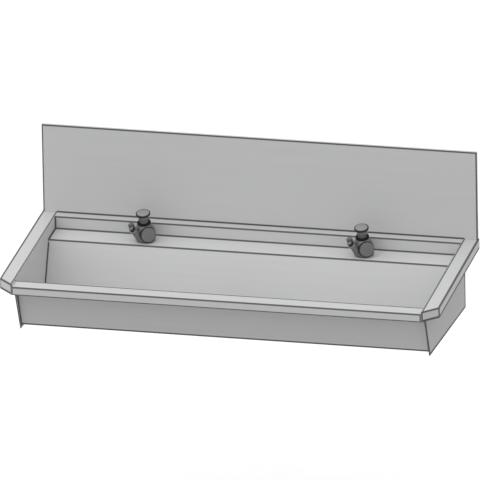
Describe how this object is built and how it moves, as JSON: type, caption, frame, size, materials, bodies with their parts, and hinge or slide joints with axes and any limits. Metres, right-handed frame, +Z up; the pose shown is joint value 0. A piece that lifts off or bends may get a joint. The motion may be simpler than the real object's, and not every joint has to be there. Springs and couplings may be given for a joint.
{
  "type": "trough sink",
  "caption": "Wall-hung folded stainless wash trough with a high splashback, a tap ledge, a turned-down rim, end panels, a grated waste and push-button taps.",
  "frame": {"origin": "centre of the four wall fixing holes, on the wall plane", "axes": "+X to the user's right along the trough, +Y into the wall, +Z up; the basin is on the -Y side"},
  "size_m": [1.2, 0.554, 0.4762],
  "materials": {
    "satin_stainless": "satin, fine grain along the width",
    "plain_stainless": "turned",
    "galvanised_steel": "zinc plated",
    "chromed_brass": "dark satin chrome on brass",
    "brass": "turned",
    "black_rubber": "matt"
  },
  "bodies": {
    "trough": {"tap_ledge": "satin_stainless", "basin": "satin_stainless", "front_rim": "satin_stainless", "splashback": "satin_stainless", "left_end_panel": "satin_stainless", "right_end_panel": "satin_stainless", "left_end_rim": "satin_stainless", "right_end_rim": "satin_stainless", "left_wall_bracket": "galvanised_steel", "right_wall_bracket": "galvanised_steel", "floor_studs": "plain_stainless", "stud_washers": "galvanised_steel", "stud_nuts": "galvanised_steel", "sound_pads": "black_rubber", "waste_body": "chromed_brass", "waste_seal": "black_rubber", "waste_grate": "satin_stainless", "grate_screw": "plain_stainless", "waste_washer": "black_rubber", "waste_nut": "brass", "tap_back_plates": "galvanised_steel", "left_tap_body": "chromed_brass", "left_tap_seal": "black_rubber", "left_tap_washer": "black_rubber", "left_tap_nut": "brass", "left_front_cap": "chromed_brass", "left_outlet_ring": "chromed_brass", "left_jet": "plain_stainless", "left_spout_hood": "chromed_brass", "left_collar": "black_rubber", "left_valve_head": "chromed_brass", "left_valve_seat": "brass", "left_spring": "plain_stainless", "right_tap_body": "chromed_brass", "right_tap_seal": "black_rubber", "right_tap_washer": "black_rubber", "right_tap_nut": "brass", "right_front_cap": "chromed_brass", "right_outlet_ring": "chromed_brass", "right_jet": "plain_stainless", "right_spout_hood": "chromed_brass", "right_collar": "black_rubber", "right_valve_head": "chromed_brass", "right_valve_seat": "brass", "right_spring": "plain_stainless"},
    "left_button": {"left_stem": "brass", "left_push_button": "chromed_brass"},
    "right_button": {"right_stem": "brass", "right_push_button": "chromed_brass"}
  },
  "joints": [
    {"name": "left_button_press", "type": "slide", "parent": "trough", "child": "left_button", "axis": [0.0289, 0.2059, -0.9781], "range_m": [0, 0.008], "stiffness_N_per_m": 1500, "springref_m": -0.005, "deforming": ["left_spring"]},
    {"name": "right_button_press", "type": "slide", "parent": "trough", "child": "right_button", "axis": [0.0289, 0.2059, -0.9781], "range_m": [0, 0.008], "stiffness_N_per_m": 1500, "springref_m": -0.005, "deforming": ["right_spring"]}
  ]
}
